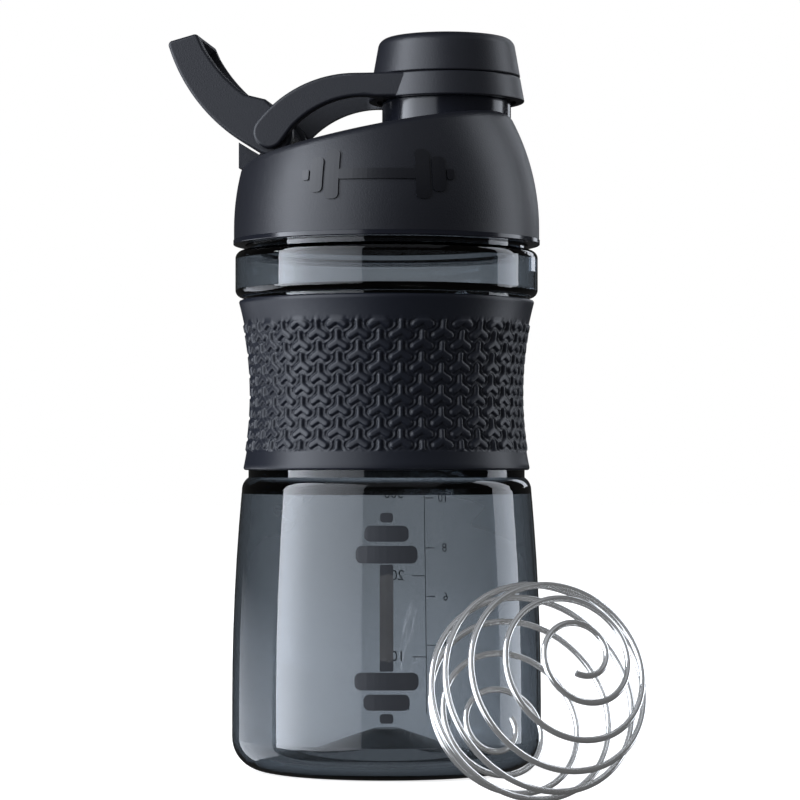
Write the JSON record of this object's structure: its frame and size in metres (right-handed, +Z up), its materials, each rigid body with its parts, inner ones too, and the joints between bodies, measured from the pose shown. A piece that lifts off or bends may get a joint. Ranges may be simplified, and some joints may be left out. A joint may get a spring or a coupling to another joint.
{
  "type": "protein shaker bottle",
  "caption": "Waisted clear shaker bottle with a grip sleeve, screw lid with offset spout, tethered twist cap, fold-over carry loop and a loose wire whisk ball.",
  "frame": {"origin": "centre of the bottle's base, on the surface it stands on", "axes": "+Z up along the bottle's axis, +X towards the drinking spout, -Y towards the front of the bottle; the carry loop is towards -X"},
  "size_m": [0.1261, 0.1421, 0.1908],
  "materials": {
    "clear_smoke": "clear smoke grey, polished",
    "grip_rubber": "soft touch with a raised pattern",
    "lid_matt": "fine matt texture",
    "lid_gloss": "smooth",
    "seal_rubber": "silicone",
    "pin_steel": "ground",
    "wire_steel": "electropolished wire"
  },
  "bodies": {
    "bottle": {"bottle_body": "clear_smoke", "grip_sleeve": "grip_rubber"},
    "gasket": {"lid_gasket": "seal_rubber"},
    "lid": {"lid_core": "lid_gloss", "lid_cover": "lid_matt", "hinge_pin": "pin_steel"},
    "tether": {"tether_frame": "lid_matt"},
    "cap": {"cap_shell": "lid_matt", "cap_liner": "lid_gloss", "cap_seal": "seal_rubber"},
    "loop": {"carry_loop": "lid_matt"},
    "ball": {"whisk_ball": "wire_steel"}
  },
  "joints": [
    {"name": "lid_lift", "type": "slide", "parent": "bottle", "child": "gasket", "axis": [0, 0, 1], "range_m": [0, 0.0201]},
    {"name": "lid_turn", "type": "hinge", "parent": "gasket", "child": "lid", "pos_m": [0, 0, 0.1516], "axis": [0, 0, 1], "range_deg": [0, 720]},
    {"name": "tether_swing", "type": "hinge", "parent": "lid", "child": "tether", "pos_m": [-0.0285, 0, 0.1647], "axis": [0, -1, 0], "range_deg": [0, 84]},
    {"name": "cap_turn", "type": "hinge", "parent": "tether", "child": "cap", "pos_m": [0.01575, 0, 0.1766], "axis": [0, 0, 1], "range_deg": [-90, 0]},
    {"name": "loop_swing", "type": "hinge", "parent": "lid", "child": "loop", "pos_m": [-0.0285, 0, 0.1647], "axis": [0, -1, 0], "range_deg": [-80, 0]},
    {"name": "ball_lift", "type": "slide", "parent": "bottle", "child": "ball", "axis": [0, 0, 1], "range_m": [0, 0.0002]}
  ],
  "couplings": [
    {"joint": "lid_lift", "follows": "lid_turn", "m_per_rad": 0.0015915}
  ]
}
